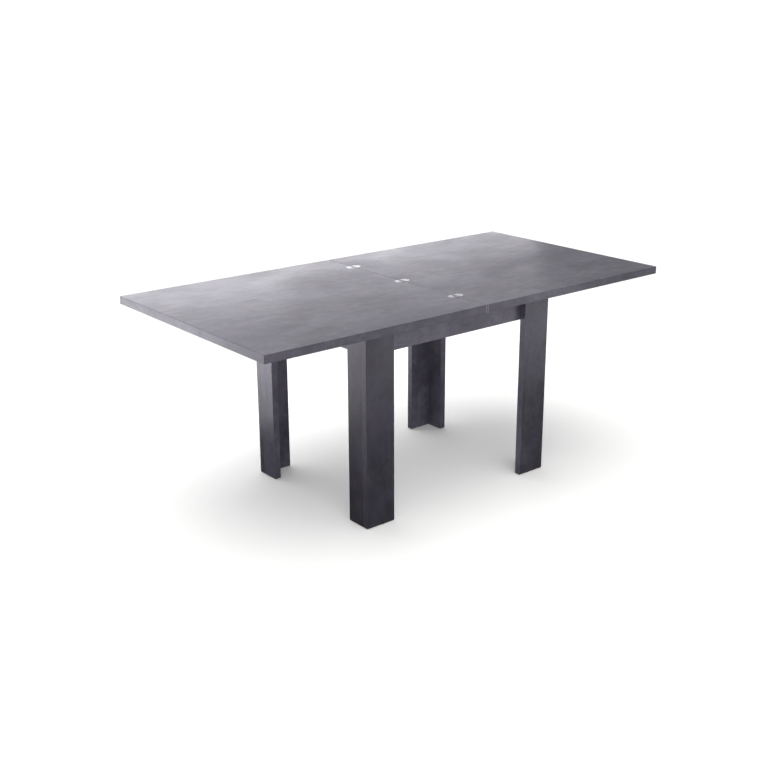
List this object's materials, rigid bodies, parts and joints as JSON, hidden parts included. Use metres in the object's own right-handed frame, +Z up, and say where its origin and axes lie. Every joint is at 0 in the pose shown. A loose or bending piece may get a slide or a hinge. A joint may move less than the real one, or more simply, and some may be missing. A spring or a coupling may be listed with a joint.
{
  "type": "extendable dining table",
  "caption": "Extendable dining table: square leaves joined by round flush hinges fold flat and slide over a rail frame on right-angle panel legs.",
  "frame": {"origin": "on the floor under the centre of the open table, which is also under the seam between the leaves", "axes": "+X along the open table towards the folding leaf, +Y across it, +Z up"},
  "size_m": [1.8, 0.9, 0.753],
  "materials": {
    "slate_board": "dark slate-grey laminate on board, mottled, satin",
    "slate_edging": "matching edge band, satin",
    "beech": "planed, unlacquered",
    "satin_nickel": "nickel-plated die casting, satin",
    "zinc_steel": "bright zinc plate",
    "insert_brass": "turned",
    "track_aluminium": "mill extrusion, anodised",
    "white_nylon": "moulded nylon",
    "black_rubber": "moulded",
    "dark_plastic": "moulded polypropylene"
  },
  "bodies": {
    "underframe": {"leg_near_left_wide_board": "slate_board", "leg_near_left_narrow_board": "slate_board", "leg_far_left_wide_board": "slate_board", "leg_far_left_narrow_board": "slate_board", "leg_near_right_wide_board": "slate_board", "leg_near_right_narrow_board": "slate_board", "leg_far_right_wide_board": "slate_board", "leg_far_right_narrow_board": "slate_board", "foot_glides": "dark_plastic", "long_rail_near": "slate_board", "long_rail_far": "slate_board", "end_rail_left": "slate_board", "end_rail_right": "slate_board", "centre_stretcher": "slate_board", "stretcher_dowels": "beech", "leg_dowels": "beech", "leg_corner_bands": "slate_edging", "leg_wide_bands": "slate_edging", "leg_narrow_bands": "slate_edging", "long_rail_bands": "slate_edging", "end_rail_bands": "slate_edging", "corner_bracket_near_left": "zinc_steel", "corner_bracket_far_left": "zinc_steel", "corner_bracket_near_right": "zinc_steel", "corner_bracket_far_right": "zinc_steel", "bracket_screws": "zinc_steel", "leg_bolt_washers": "zinc_steel", "leg_bolts": "zinc_steel", "leg_inserts": "insert_brass", "rail_screws": "zinc_steel", "slide_track_near": "track_aluminium", "slide_track_far": "track_aluminium", "track_screws": "zinc_steel", "track_end_stops": "black_rubber", "slide_strip_near": "white_nylon", "slide_strip_far": "white_nylon", "slide_strip_left": "white_nylon", "slide_strip_right": "white_nylon"},
    "sliding_leaf": {"sliding_leaf_board": "slate_board", "sliding_leaf_edging": "slate_edging", "runner_near": "beech", "runner_far": "beech", "guide_blocks_near": "white_nylon", "guide_blocks_far": "white_nylon", "guide_block_screws": "zinc_steel", "runner_screws": "zinc_steel", "hinge_cup_sliding_near": "satin_nickel", "hinge_cup_sliding_middle": "satin_nickel", "hinge_cup_sliding_far": "satin_nickel", "hinge_pins": "satin_nickel", "cup_screws_sliding": "satin_nickel"},
    "folding_leaf": {"folding_leaf_board": "slate_board", "folding_leaf_edging": "slate_edging", "hinge_cup_folding_near": "satin_nickel", "hinge_cup_folding_middle": "satin_nickel", "hinge_cup_folding_far": "satin_nickel", "cup_screws_folding": "satin_nickel"}
  },
  "joints": [
    {"name": "top_slide", "type": "slide", "parent": "underframe", "child": "sliding_leaf", "axis": [1, 0, 0], "range_m": [0, 0.45]},
    {"name": "leaf_fold", "type": "hinge", "parent": "sliding_leaf", "child": "folding_leaf", "pos_m": [0, 0, 0.7505], "axis": [0, -1, 0], "range_deg": [0, 180]}
  ]
}
